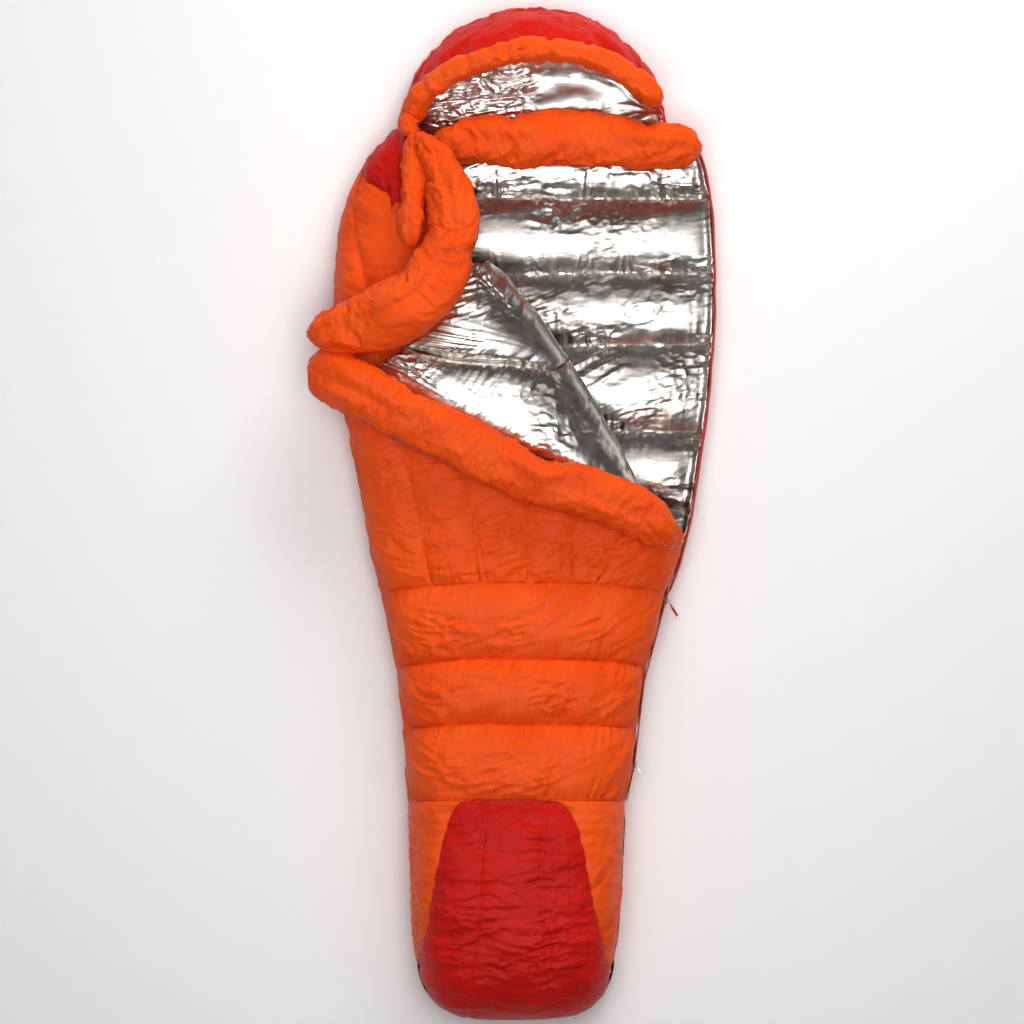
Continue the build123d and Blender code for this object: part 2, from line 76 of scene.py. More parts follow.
FOLD_WAY = (FOLD_END - FOLD_TOP) / norm(FOLD_END - FOLD_TOP)
FOLD_SIDE = np.array([-FOLD_WAY[1], FOLD_WAY[0]])
HOOD_CENTRE = (45, 800)
HOOD_RADII = (275, 249, 215)
BRIM = [(-206, 822, 94), (-176, 868, 114), (-90, 919, 138), (37, 946, 150), (177, 929, 146),
        (262, 880, 137), (305, 838, 130)]
PIN = np.array([324.49, -185.24])
PULL_ANGLE = -57
CORD_ROUTE = [(6.6, 0, 52), (11, 0, 51.8), (12.7, 0.9, 43.5), (11.9, 0.4, 32), (12.3, -0.5, 21.5),
              (12.8, 0, 13.0), (17, 0, 11.3)]
CORD_DIAMETER = 2.6


def table(rows, y, soften=10):
    """Value at y of (y, value) rows, with its corners rounded over a few centimetres."""
    ys, values = zip(*sorted(rows))
    total = 0
    for step in (-2, -1, 0, 1, 2):
        total = total + np.interp(np.asarray(y, float) + step * soften, ys, values)
    return total / 5


def dome_frame(y):
    soften = np.where(np.asarray(y) < -940, 1.0, 10.0)
    left = table(LEFT_EDGE, y, soften) + SIDE_INSET
    right = table(RIGHT_EDGE, y, soften) - SIDE_INSET
    return (left + right) / 2, (right - left) / 2, table(CREST, y, soften) - BASE


def rounded(value, power=DOME_POWER):
    return np.sign(value) * np.abs(value) ** (2 / power)


THETA = np.linspace(0, pi, 721)
_across, _up = rounded(np.cos(THETA)), 0.45 * rounded(np.sin(THETA))
SHARE = np.concatenate([[0], np.cumsum(np.hypot(np.diff(_across), np.diff(_up)))])
SHARE = SHARE / SHARE[-1]


def crown(x, y):
    """Height of the front panel over a point of the plan."""
    centre, half, height = dome_frame(y)
    reach = np.clip(np.abs(x - centre) / half, 0, 1)
    return BASE + height * (1 - reach ** DOME_POWER) ** (1 / DOME_POWER)


def share_of(x, y):
    """How far round the front panel x is at y: 0 at the right foot, 1 at the left."""
    centre, half, _ = dome_frame(y)
    reach = np.clip((x - centre) / half, -1, 1)
    angle = np.arccos(np.sign(reach) * np.abs(reach) ** (DOME_POWER / 2))
    return np.interp(angle, THETA, SHARE)


def dome(share, y):
    centre, half, height = dome_frame(y)
    angle = np.interp(share, SHARE, THETA)
    return np.stack([centre + half * rounded(np.cos(angle)), y, BASE + height * rounded(np.sin(angle))], -1)


def fold_point(distance, offset=0):
    return FOLD_TOP + FOLD_WAY * distance + FOLD_SIDE * offset


def shares(rows):
    """Shares from 0 to 1, one for each row of a grid."""
    return np.linspace(0, 1, rows)[:, None]


def xyz(x, y, z):
    return np.stack(np.broadcast_arrays(x, y, z), -1)


# ---- noise and cloth detail

def noise(a, b, seed):
    """Smooth value noise, -1 to 1."""
    lattice = np.random.default_rng(seed).random((128, 128)) * 2 - 1
    i, j = np.floor(a).astype(int), np.floor(b).astype(int)
    f, g = a - i, b - j
    f, g = f * f * (3 - 2 * f), g * g * (3 - 2 * g)
    i, j, k, m = i % 128, j % 128, (i + 1) % 128, (j + 1) % 128
    low = lattice[i, j] * (1 - f) + lattice[k, j] * f
    high = lattice[i, m] * (1 - f) + lattice[k, m] * f
    return low * (1 - g) + high * g


def creases(a, b, seed, octaves=3, sharp=1.0):
    """Sharp-topped folds about a middle of 0, finer with each octave."""
    total, size, weight = 0, 1.0, 0
    for octave in range(octaves):
        fold = 1 - 2 * np.abs(noise(a * size + 7 * octave, b * size + 3 * octave, seed + octave)) ** sharp
        total = total + fold / size
        weight += 1 / size
        size *= 1.9
    return 1.5 * total / weight - 0.5


def pucker(along, away, seed, wave=15, reach=30, height=2.0):
    """Gathers that run away from a line of stitching, where the cloth is drawn in."""
    lean = 0.5 * noise(along / 70, along * 0 + 0.5, seed + 50)
    rows = creases((along + lean * away) / wave, away / (4 * reach), seed, 2)
    patchy = 0.6 + 0.5 * noise(along / 45, away / 200, seed + 60)
    return height * rows * patchy * (1 - np.exp(-away / 5)) * np.exp(-away / reach)


def nylon_folds(x, y, seed):
    """Soft slanting folds of thin nylon, with short fine creases in places."""
    warp = noise(x / 160, y / 160, seed + 1)
    broad = creases(x / 95 + y / 120 + warp, y / 34 - x / 150 + warp, seed, 2)
    fine = creases(x / 34 + warp, y / 13 - x / 60, seed + 5, 2, 0.9)
    patch = np.clip(0.4 + 1.1 * noise(x / 80, y / 70, seed + 9), 0, 1)
    return 1.7 * broad + 2.4 * fine * patch


def bulge(away, reach):
    """Rounded rise from a seam, 0 at the seam and 1 from reach on."""
    return np.sqrt(1 - (1 - np.clip(away / reach, 0, 1)) ** 2)


def spline(points, count):
    """Smooth curve through points, as count rows evenly spaced along it."""
    p = np.array(points, float)
    ends = np.vstack([2 * p[0] - p[1], p, 2 * p[-1] - p[-2]])
    t = np.linspace(0, 1, 20, endpoint=False)[:, None]
    runs = []
    for a, b, c, d in zip(ends, ends[1:], ends[2:], ends[3:]):
        bend, twist = 2 * a - 5 * b + 4 * c - d, 3 * b - a - 3 * c + d
        runs.append(0.5 * (2 * b + (c - a) * t + bend * t ** 2 + twist * t ** 3))
    dense = np.vstack(runs + [p[-1:]])
    steps = norm(np.diff(dense[:, :3], axis=0), axis=1)
    length = np.concatenate([[0], np.cumsum(steps)])
    at = np.linspace(0, length[-1], count)
    return np.stack([np.interp(at, length, column) for column in dense.T], -1)


def normals(points):
    n = np.cross(np.gradient(points, axis=1), np.gradient(points, axis=0))
    return n / np.maximum(norm(n, axis=-1, keepdims=True), 1e-9)


def outward(points, amount, towards):
    """Points moved along their normals, with the normals turned towards a direction."""
    n = normals(points)
    if np.sum(n * np.array(towards)) < 0:
        n = -n
    return points + n * amount[..., None]


def arc(points, axis):
    """Distance along the rows or columns of a grid."""
    step = norm(np.diff(points, axis=axis), axis=-1)
    pad = [(0, 0), (0, 0)]
    pad[axis] = (1, 0)
    return np.cumsum(np.pad(step, pad), axis=axis)


# ---- materials

materials = {}


class Nodes:
    """Short ways to wire one material."""

    def __init__(self, name):
        self.material = bpy.data.materials.new(name)
        self.material.use_nodes = True
        self.tree = self.material.node_tree
        self.shader = self.tree.nodes["Principled BSDF"]
        self.place = self.tree.nodes.new("ShaderNodeTexCoord").outputs["Object"]
        materials[name] = self.material

    def feed(self, socket, value):
        """Gives an input its value, or a link if the value is another node's output."""
        if isinstance(value, bpy.types.NodeSocket):
            self.tree.links.new(value, socket)
        else:
            socket.default_value = value

    def new(self, kind, **inputs):
        node = self.tree.nodes.new("ShaderNode" + kind)
        for key, value in inputs.items():
            self.feed(node.inputs[key.replace("_", " ")], value)
        return node

    def math(self, operation, *values):
        node = self.tree.nodes.new("ShaderNodeMath")
        node.operation = operation
        for socket, value in zip(node.inputs, values):
            self.feed(socket, value)
        return node.outputs[0]

    def noise(self, scale, detail=2.0, stretch=(1, 1, 1), rough=0.5):
        place = self.new("Mapping", Scale=stretch, Vector=self.place).outputs["Vector"]
        return self.new("TexNoise", Scale=scale, Detail=detail, Roughness=rough, Vector=place).outputs["Fac"]

    def wave(self, scale, direction):
        node = self.new("TexWave", Scale=scale, Vector=self.place)
        node.bands_direction = direction
        return node.outputs["Fac"]

    def ramp(self, value, low, high, a=0.0, b=1.0):
        node = self.new("MapRange", From_Min=low, From_Max=high, To_Min=a, To_Max=b, Value=value)
        return node.outputs["Result"]

    def crease(self, value):
        """Sharp-edged folds, where a noise crosses its middle."""
        return self.math("ABSOLUTE", self.math("SUBTRACT", value, 0.5))

    def add(self, a, b, share=1.0):
        return self.math("MULTIPLY_ADD", b, share, a)

    def colour(self, value, dark, light):
        node = self.tree.nodes.new("ShaderNodeMix")
        node.data_type = "RGBA"
        self.feed(node.inputs["A"], (*dark, 1))
        self.feed(node.inputs["B"], (*light, 1))
        self.feed(node.inputs["Factor"], value)
        self.set(Base_Color=node.outputs["Result"])

    def bump(self, height, strength, distance):
        node = self.new("Bump", Strength=strength, Distance=distance, Height=height)
        self.set(Normal=node.outputs["Normal"])

    def set(self, **values):
        for key, value in values.items():
            self.feed(self.shader.inputs[key.replace("_", " ")], value)


def nylon(name, colour, worn):
    """Thin down-proof ripstop: fine weave, a 5 mm grid of thicker threads, small creases and a soft sheen."""
    m = Nodes(name)
    m.colour(m.ramp(m.noise(9, 4), 0.35, 0.7), colour, worn)
    weave = m.add(m.wave(520, "X"), m.wave(520, "Y"))
    grid = m.add(m.ramp(m.wave(63, "X"), 0.93, 1.0), m.ramp(m.wave(63, "Y"), 0.93, 1.0))
    fine = m.noise(95, 3, (1, 0.35, 1), rough=0.6)
    height = m.add(m.add(fine, weave, 0.03), grid, 0.05)
    m.bump(height, 0.55, 0.0022)
    m.set(Roughness=m.ramp(m.noise(30, 3), 0.3, 0.7, 0.40, 0.52), Specular_IOR_Level=0.15,
          Sheen_Weight=0.06, Sheen_Roughness=0.4, Sheen_Tint=(*worn, 1))
    return m.material


def foil(name):
    """Metallised lining: crinkled film with sharp creases and dull patches."""
    m = Nodes(name)
    m.colour(m.ramp(m.noise(14, 5), 0.3, 0.75), (0.56, 0.50, 0.45), (0.84, 0.82, 0.79))
    streaks = m.crease(m.noise(11, 3, (0.55, 1.2, 1), rough=0.5))
    fine = m.crease(m.noise(30, 3, (0.6, 1.0, 1), rough=0.5))
    m.bump(m.add(streaks, fine, 0.35), 0.5, 0.006)
    m.set(Roughness=m.ramp(m.noise(40, 4), 0.3, 0.7, 0.25, 0.37), Metallic=1.0)
    return m.material


def plain(name, colour, other, rough, metallic=0.0, scale=200, bump=0.3, depth=0.0006, stretch=(1, 1, 1)):
    m = Nodes(name)
    m.colour(m.ramp(m.noise(scale, 4), 0.35, 0.65), colour, other)
    m.bump(m.noise(scale * 2, 4, stretch), bump, depth)
    m.set(Roughness=m.ramp(m.noise(scale * 0.6, 3), 0.3, 0.7, rough * 0.8, rough * 1.2), Metallic=metallic)
    return m.material


def woven(name, colour, other, pitch=900):
    """Woven or braided cloth: ribs both ways, with a little colour change between threads."""
    m = Nodes(name)
    ribs = m.add(m.wave(pitch, "Z"), m.wave(pitch, "Y"))
    m.colour(m.ramp(ribs, 0.2, 1.6), colour, other)
    m.bump(m.add(ribs, m.noise(500, 2), 0.6), 0.5, 0.0004)
    m.set(Roughness=0.75, Sheen_Weight=0.2)
    return m.material


nylon("shell_orange", (0.82, 0.072, 0.005), (0.90, 0.098, 0.009))
nylon("shell_red", (0.50, 0.006, 0.004), (0.60, 0.009, 0.005))
nylon("hood_red", (0.56, 0.009, 0.005), (0.64, 0.013, 0.006))
foil("lining_silver")
woven("zip_tape", (0.45, 0.02, 0.012), (0.60, 0.035, 0.02))
plain("zip_teeth", (0.30, 0.014, 0.010), (0.42, 0.022, 0.016), 0.35)
plain("zip_metal", (0.10, 0.10, 0.11), (0.16, 0.16, 0.17), 0.38, 0.6)
plain("tab_metal", (0.34, 0.34, 0.35), (0.50, 0.50, 0.51), 0.33, 1.0, 150, 0.2, 0.0004, (1, 8, 1))
woven("pull_cord", (0.42, 0.018, 0.014), (0.62, 0.04, 0.03), 1400)
plain("pull_grip", (0.48, 0.02, 0.016), (0.58, 0.03, 0.024), 0.5)
plain("thread_orange", (0.62, 0.05, 0.008), (0.80, 0.09, 0.015), 0.6, 0.0, 900)
plain("thread_beige", (0.50, 0.44, 0.33), (0.72, 0.66, 0.52), 0.6, 0.0, 900)

# ---- camera, light and floor

scene.view_settings.view_transform = "Standard"

EYE_HEIGHT = 9.0
MID_HEIGHT = 0.12
VIEW_WIDTH = 2.109    # metres seen across the frame, at the bag's middle height
SENSOR = 36
camera_data = bpy.data.cameras.new("camera")
camera_data.sensor_width = SENSOR
camera_data.lens = SENSOR * (EYE_HEIGHT - MID_HEIGHT) / VIEW_WIDTH
camera = add_object("camera", camera_data)
camera.location = (0, 0, EYE_HEIGHT)
scene.camera = camera


def softbox(name, place, aim, size, power, mirrored=True):
    light = bpy.data.lights.new(name, "AREA")
    light.shape = "RECTANGLE"
    light.size, light.size_y = size
    light.energy = power
    lamp = add_object(name, light)
    lamp.location = place
    lamp.rotation_euler = (Vector(aim) - Vector(place)).to_track_quat("-Z", "Y").to_euler()
    lamp.visible_camera = False
    lamp.visible_glossy = mirrored


softbox("softbox_top", (0.0, -0.25, 3.4), (0, 0, 0), (2.0, 2.2), 48)
softbox("softbox_wide", (0.0, 0.2, 3.9), (0, 0, 0), (5.0, 5.0), 56)
softbox("softbox_head", (0.9, 3.4, 2.0), (0, 0, 0), (2.6, 1.6), 92, False)
softbox("softbox_left", (-3.4, 1.0, 2.2), (0, 0, 0), (1.2, 2.2), 5)

world = bpy.data.worlds.new("studio")
world.use_nodes = True
tree = world.node_tree
seen = tree.nodes["Background"]
seen.inputs["Color"].default_value = (0.92, 0.92, 0.92, 1)
seen.inputs["Strength"].default_value = 1.0
dim = tree.nodes.new("ShaderNodeBackground")
dim.inputs["Color"].default_value = (0.50, 0.48, 0.46, 1)
dim.inputs["Strength"].default_value = 0.16
mix = tree.nodes.new("ShaderNodeMixShader")
path = tree.nodes.new("ShaderNodeLightPath")
tree.links.new(path.outputs["Is Camera Ray"], mix.inputs["Fac"])
tree.links.new(dim.outputs[0], mix.inputs[1])
tree.links.new(seen.outputs[0], mix.inputs[2])
tree.links.new(mix.outputs[0], tree.nodes["World Output"].inputs["Surface"])
scene.world = world

floor_mesh = bpy.data.meshes.new("floor")
floor_corners = [(-6, -6, -0.001), (6, -6, -0.001), (6, 6, -0.001), (-6, 6, -0.001)]
floor_mesh.from_pydata(floor_corners, [], [(0, 1, 2, 3)])
floor = add_object("floor", floor_mesh)
floor.data.materials.append(plain("floor_paper", (0.96, 0.96, 0.96), (0.97, 0.97, 0.97), 0.9, 0, 20, 0.02))

# ---- the pull's cord, at its own route

turn = radians(PULL_ANGLE)
OUT, ASIDE = np.array([cos(turn), sin(turn)]), np.array([-sin(turn), cos(turn)])
cord_curve = bpy.data.curves.new("upper_pull_cord_line", "CURVE")
cord_curve.dimensions = "3D"
cord_curve.bevel_depth = CORD_DIAMETER / 2 * MM
cord_curve.bevel_resolution = 4
cord_curve.resolution_u = 16
cord_curve.use_fill_caps = True
line = cord_curve.splines.new("NURBS")
line.points.add(len(CORD_ROUTE) - 1)
for point, (out, aside, z) in zip(line.points, CORD_ROUTE):
    x, y = PIN + OUT * out + ASIDE * aside
    point.co = (x * MM, y * MM, z * MM, 1)
line.order_u = 3
line.use_endpoint_u = True
cord = add_object("pull_cord", cord_curve)
cord.data.materials.append(materials["pull_cord"])
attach(cord, "upper_pull")
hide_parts("upper_pull_cord")


# ---- making pieces

def grid_mesh(name, sheets, ring=False):
    """Mesh of one or more grids of points, in metres; ring joins each grid's last column to its first."""
    vertices, faces, start = [], [], 0
    for points in sheets:
        rows, columns = points.shape[:2]
        index = start + np.arange(rows * columns).reshape(rows, columns)
        if ring:
            index = np.hstack([index, index[:, :1]])
        quads = np.stack([index[:-1, :-1], index[:-1, 1:], index[1:, 1:], index[1:, :-1]], -1)
        faces.append(quads.reshape(-1, 4))
        vertices.append(points.reshape(-1, 3) * MM)
        start += rows * columns
    mesh = bpy.data.meshes.new(name)
    vertices, faces = np.vstack(vertices), np.vstack(faces)
    mesh.vertices.add(len(vertices))
    mesh.vertices.foreach_set("co", vertices.astype(np.float32).ravel())
    mesh.loops.add(faces.size)
    mesh.loops.foreach_set("vertex_index", faces.astype(np.int32).ravel())
    mesh.polygons.add(len(faces))
    mesh.polygons.foreach_set("loop_start", np.arange(0, faces.size, 4, dtype=np.int32))
    mesh.polygons.foreach_set("use_smooth", np.ones(len(faces), bool))
    mesh.update(calc_edges=True)
    mesh.validate()
    return mesh


def facing(points, towards, ring):
    """True if the grid's faces already look outward: towards a direction, or away from a tube's middle."""
    out = points - points.mean(1, keepdims=True) if ring else np.array(towards, float)
    return np.sum(normals(points) * out) > 0


def edge_pins(sheets, ring):
    """Indices of the points along the stitched borders of each grid, or along a tube's two seams."""
    found, start = [], 0
    for points in sheets:
        rows, columns = points.shape[:2]
        index = start + np.arange(rows * columns).reshape(rows, columns)
        found += [index[0], index[-1]]
        found += [index[:, 0], index[:, 3 * columns // 4]] if ring else [index[:, 0], index[:, -1]]
        start += rows * columns
    return np.unique(np.concatenate(found)).tolist()


def cut_larger(obj, growth):
    """Shape that the cloth was cut to: larger along x, y and z by these shares, so that it gathers."""
    obj.shape_key_add(name="Basis")
    key = obj.shape_key_add(name="cut")
    key.value = 0
    co = np.zeros(len(obj.data.vertices) * 3, np.float32)
    obj.data.vertices.foreach_get("co", co)
    co = co.reshape(-1, 3)
    centre = co.mean(0)
    key.data.foreach_set("co", (centre + (co - centre) * (1 + np.array(growth))).astype(np.float32).ravel())
    return key


def inflate(obj, pins, pressure, growth):
    """Cloth simulation: cloth cut a little too large for its stitched borders, blown up by the filling."""
    group = obj.vertex_groups.new(name="stitched")
    group.add(pins, 1.0, "REPLACE")
    modifier = obj.modifiers.new("cloth", "CLOTH")
    cloth = modifier.settings
    cloth.quality = 4
    cloth.mass = 0.15
    cloth.tension_stiffness = 12
    cloth.compression_stiffness = 8
    cloth.shear_stiffness = 4
    cloth.bending_stiffness = 0.01
    cloth.air_damping = 3
    cloth.vertex_group_mass = "stitched"
    if np.isscalar(growth):
        cloth.shrink_min = -growth
    else:
        cloth.rest_shape_key = cut_larger(obj, growth)
    cloth.use_pressure = True
    cloth.uniform_pressure_force = pressure
    cloth.effector_weights.gravity = 0
    modifier.collision_settings.use_collision = False
    modifier.point_cache.frame_start = 1
    modifier.point_cache.frame_end = FRAMES


FRAMES = 16
plan = []


def every_other(count):
    return np.unique(np.append(np.arange(0, count, 2), count - 1))


def finer(values, rows, columns, ring):
    """Values of a grid taken at every other row and column, spread over the full grid."""
    at_rows, at_columns = every_other(rows), every_other(columns)
    if ring:
        values = np.concatenate([values, values[:, :1]], 1)
        at_columns = np.append(at_columns, columns)
    for axis, at, count in ((1, at_columns, columns), (0, at_rows, rows)):
        values = np.apply_along_axis(lambda line: np.interp(np.arange(count), at, line), axis, values)
    return values


def settle():
    """Simulates a coarse copy of every piece that is blown up, and moves the piece's own points with it."""
    copies = []
    for item in plan:
        if item["blow"]:
            coarse = [grid[every_other(grid.shape[0])][:, every_other(grid.shape[1])]
                      for grid in item["sheets"]]
            obj = add_object("copy", grid_mesh("copy", coarse, item["ring"]))
            inflate(obj, edge_pins(coarse, item["ring"]), *item["blow"][:2])
            copies.append((item, obj, coarse))
    for step in range(1, FRAMES + 1):
        scene.frame_set(step)
    graph = bpy.context.evaluated_depsgraph_get()
    for item, obj, coarse in copies:
        moved = np.zeros(len(obj.data.vertices) * 3, np.float32)
        obj.evaluated_get(graph).data.vertices.foreach_get("co", moved)
        moved, start = moved.reshape(-1, 3) / MM, 0
        for i, (grid, rest) in enumerate(zip(item["sheets"], coarse)):
            count = rest.shape[0] * rest.shape[1]
            step = moved[start:start + count].reshape(rest.shape) - rest
            size = norm(step, axis=-1, keepdims=True)
            step = step * item["blow"][2] / np.maximum(size, item["blow"][2])
            item["sheets"][i] = grid + finer(step, *grid.shape[:2], item["ring"])
            start += count
    for _, obj, _ in copies:
        mesh = obj.data
        bpy.data.objects.remove(obj)
        bpy.data.meshes.remove(mesh)
    scene.frame_set(1)


def piece(name, sheets, material, body="bag", stands_for=(), fill=0.6, ring=False, slot=None,
          towards=(0, 0, 1), blow=None, detail=None):
    """Plans a piece made of grids of points. blow is (pressure, growth, cap in mm) of its simulation, and
    detail is the height of its folds and creases, which are added after it."""
    detail = detail or [np.zeros(grid.shape[:2]) for grid in sheets]
    kept = [(grid, fine) if facing(grid, towards, ring) else (grid[:, ::-1], fine[:, ::-1])
            for grid, fine in zip(sheets, detail)]
    plan.append({"name": name, "sheets": [grid for grid, _ in kept], "detail": [fine for _, fine in kept],
                 "material": material, "body": body, "stands_for": stands_for, "fill": fill, "ring": ring,
                 "slot": slot or material, "blow": blow})


def build(item):
    grids = []
    for grid, fine in zip(item["sheets"], item["detail"]):
        looped = np.concatenate([grid[:, -1:], grid, grid[:, :1]], 1) if item["ring"] else grid
        way = normals(looped)
        way = way[:, 1:-1] if item["ring"] else way
        grid = grid + way * fine[..., None]
        grid[..., 2] = np.maximum(grid[..., 2], 0.2)
        grids.append(grid)
    obj = add_object(item["name"], grid_mesh(item["name"], grids, item["ring"]))
    obj.data.materials.append(materials[item["material"]])
    if item["body"]:
        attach(obj, item["body"])
    if item["stands_for"]:
        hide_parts(*item["stands_for"])
    return obj


# ---- front panel: chambers given by their borders as (share round the dome, y)

SPAN = 700     # millimetres that a share of 1 counts for when a border is smoothed
ROUND = 900    # rough way round the front panel, from foot to foot
OFF_RIGHT = 999    # an x past the right edge, which stands for the panel's right foot


def border(points, count):
    """Border given as (x, y) points, as rows of (share, y); x of None stands for the panel's left foot."""
    rows = []
    for x, y in points:
        rows.append((1.0 if x is None else float(share_of(x, y)) if x < OFF_RIGHT else 0.0, y))
    return spline([(share * SPAN, y) for share, y in rows], count) / np.array([SPAN, 1])


def chamber(name, one, other, material="shell_orange", dip=12, lift=3, reach=48, seed=1, stands_for=(),
            wave=15, closed=(True, True, True, True), gather=2.0, body="bag", extra=None, cell=3.4, slot=None,
            crumple=1.0, blow=(3.0, (0.06, 0.01, 0.06), 12), waist=None):
    """Quilted chamber between two borders that run the same way. closed says which of its four sides
    (one, other, start, end) are seams, and waist is the side on the seam between the chest and the legs,
    where both are drawn in to the same depth."""
    length = norm(np.diff(dome(*border(one, 60).T), axis=0), axis=1).sum()
    rows = int(length / cell) + 2
    a, b = border(one, rows), border(other, rows)
    width = norm(dome(*a.T) - dome(*b.T), axis=1).max()
    columns = int(width / cell) + 2
    u = np.linspace(0, 1, columns)[None, :, None]
    flat = a[:, None] * (1 - u) + b[:, None] * u
    points = dome(flat[..., 0], flat[..., 1])
    across, down = arc(points, 1), arc(points, 0)
    sides = [(across, down), (across[:, -1:] - across, down), (down, across), (down[-1:] - down, across)]
    rise, folds = 1.0, 0.0
    for i, (away, along) in enumerate(sides):
        if closed[i]:
            rise = rise * bulge(away, reach)
            folds = folds + pucker(along, away, seed + 9 * i, wave, 34, gather)
    from_right = flat[..., 0] * ROUND
    from_left = (1 - flat[..., 0]) * ROUND
    shallow = 1 - np.exp(-(np.minimum(from_right, from_left) / 60) ** 2)
    cover = 7 * np.exp(-(from_left / 45) ** 2) + 3 * np.exp(-(from_right / 45) ** 2)
    depth = dip if waist is None else dip + (WAIST_DIP - dip) * np.exp(-sides[waist][0] / 30)
    amount = (-depth + (depth + lift) * rise) * shallow + cover
    folds = folds + crumple * nylon_folds(points[..., 0], points[..., 1] + points[..., 2], seed + 77) * rise
    if extra is not None:
        folds = folds + extra(points, rise)
    piece(name, [outward(points, amount, (0, 0, 1))], material, body, stands_for, slot=slot, blow=blow,
          detail=[folds])


def left_foot(*ys):
    return [(None, y) for y in ys]


def right_foot(*ys):
    return [(OFF_RIGHT, y) for y in ys]


SEAM_1 = [(-165, -151), (-216, 82), (-299, 449), (-309, 700)]
SEAM_2 = [(-68, -146), (-93, 60), (-165, 620)]
SEAM_3 = [(29, -145), (37, 16), (53, 338)]
SEAM_4 = [(119, -146), (134, -12), (158, 186)]
SEAM_5 = [(171, -148), (229, -60), (272, 18)]
LEG_SEAMS = [(-145, -171), (-300, -324), (-433, -450), (-592, -603)]    # at the middle and at the ends
WAIST_DIP = 11
CHEST = [    # name, borders, closed sides, lift and reach
    ("chest_chamber_left", left_foot(-171, 200, 450, 711), SEAM_1, (False, True, True, True), 3, 48),
    ("chest_chamber_2", SEAM_1, SEAM_2, (True, True, True, True), 3, 48),
    ("chest_chamber_3", SEAM_2, SEAM_3, (True, True, True, False), 1, 48),
    ("chest_chamber_4", SEAM_3, SEAM_4, (True, True, True, False), 1, 48),
    ("chest_chamber_5", SEAM_4, SEAM_5, (True, True, True, False), 1, 36),
    ("chest_chamber_6", SEAM_5, right_foot(-171, -120, -72), (True, False, True, False), 2, 40),
]
for i, (name, one, other, closed, lift, reach) in enumerate(CHEST, 1):
    chamber(name, one, other, seed=10 * i - 7, dip=6, gather=4.5, blow=(2.5, (0.02, 0.045, 0.02), 9), waist=2,
            stands_for=[f"chest_chamber_{i}"] + (["chest_baffles"] if i == 3 else []),
            closed=closed, lift=lift, reach=reach, crumple=1.3)


def leg_seam(middle, end):
    """A crosswise seam from the right foot to the left, which droops towards its ends."""
    return [(OFF_RIGHT, end), (171, middle - 3), (29, middle), (-100, middle), (None, end)]


for i, (head, foot) in enumerate(zip(LEG_SEAMS, LEG_SEAMS[1:])):
    names = [f"front_chamber_{i + 1}"] + (["front_baffles"] if i == 0 else [])
    chamber(f"leg_chamber_{i + 1}", leg_seam(*head), leg_seam(*foot), seed=63 + 10 * i, stands_for=names,
            closed=(True, True, False, False), reach=70, dip=17, lift=6, gather=7.0, wave=13,
            waist=0 if i == 0 else None, crumple=1.5)


# ---- footbox

PANEL_LEFT = [(-80, -587), (-110, -597), (-134, -645), (-155, -731), (-169, -808), (-183, -873), (-196, -933)]
PANEL_RIGHT = [(76, -587), (104, -597), (126, -628), (144, -680), (163, -777), (183, -857), (196, -933)]


FOOT_LINES = (([(-599, -51), (-713, -64), (-840, -70), (-952, -87), (-1032, -91)], 7),
              ([(-606, 68), (-744, 58), (-840, 68), (-952, 80), (-1026, 70)], 8))    # (y, x) rows and a seed


def foot_creases(points, rise):
    """Folds across the footbox and two lines of quilting that wander down it."""
    x, y = points[..., 0], points[..., 1]
    across, down = x / 120 + 0.8 * noise(y / 60, x / 90, 5), y / 24 + 0.5 * noise(x / 50, y / 90, 6)
    amount = 3.0 * creases(across, down, 91, 3)
    for line, seed in FOOT_LINES:
        away = np.abs(x - table(line, y))
        amount = amount - 3.4 * np.exp(-(away / 6) ** 2)
        amount = amount + pucker(y, away, seed, 15, 30, 6.0)
    return amount


chamber("foot_centre", PANEL_RIGHT, PANEL_LEFT, "shell_red", dip=3, lift=3, reach=40, seed=101,
        stands_for=["foot_centre_panel"], extra=foot_creases, gather=1.4, wave=18,
        closed=(True, True, True, False))
for name, one, other, seed in (("left", PANEL_LEFT, left_foot(-597, -760, -928), 111),
                               ("right", right_foot(-597, -760, -928), PANEL_RIGHT, 121)):
    chamber(f"foot_side_{name}_cloth", one, other, dip=7, lift=2, reach=40, seed=seed, gather=1.2,
            stands_for=[f"foot_side_{name}"], closed=(name == "left", name == "right", True, False),
            extra=lambda points, rise: 1.8 * creases(points[..., 2] / 70, points[..., 1] / 22, 131, 3))


TOE_LINE = -931.0    # seam above the toes
TOE_REACH = 116


def toe(start, centre, v):
    """Plan and closing share of the toe end, which shrinks from its seam, v of 0, to its tip, v of 1."""
    closing = np.cos(v * pi / 2) ** 0.62
    x = centre + (start[..., 0] - centre) * (0.12 + 0.88 * closing)
    return x, TOE_LINE - TOE_REACH * np.sin(v * pi / 2) + 0 * start[..., 0], closing


def sole():
    """Rounded toe end, from the seam above the toes down to the floor."""
    columns, rows = 150, 60
    share = np.linspace(0, 1, columns)[None, :] * np.ones((rows, 1))
    v = shares(rows)
    start = dome(share, np.full_like(share, TOE_LINE))
    x, y, closing = toe(start, dome_frame(TOE_LINE)[0], v)
    points = xyz(x, y, (BASE + (start[..., 2] - BASE) * closing) * (1 - 0.10 * v))
    amount = 3 + foot_creases(points, 1) * np.clip(1.1 - v, 0, 1)
    return outward(points, amount, (0, -0.4, 1))


def sole_under():
    rows, columns = 60, 150
    v = shares(rows)
    start = under_points(np.array([TOE_LINE]), columns)
    x, y, closing = toe(start, 0.0, v)
    z = BASE * (1 - 0.10 * v) + (start[..., 2] - BASE) * closing
    return xyz(x, y, np.maximum(z, 0.3))


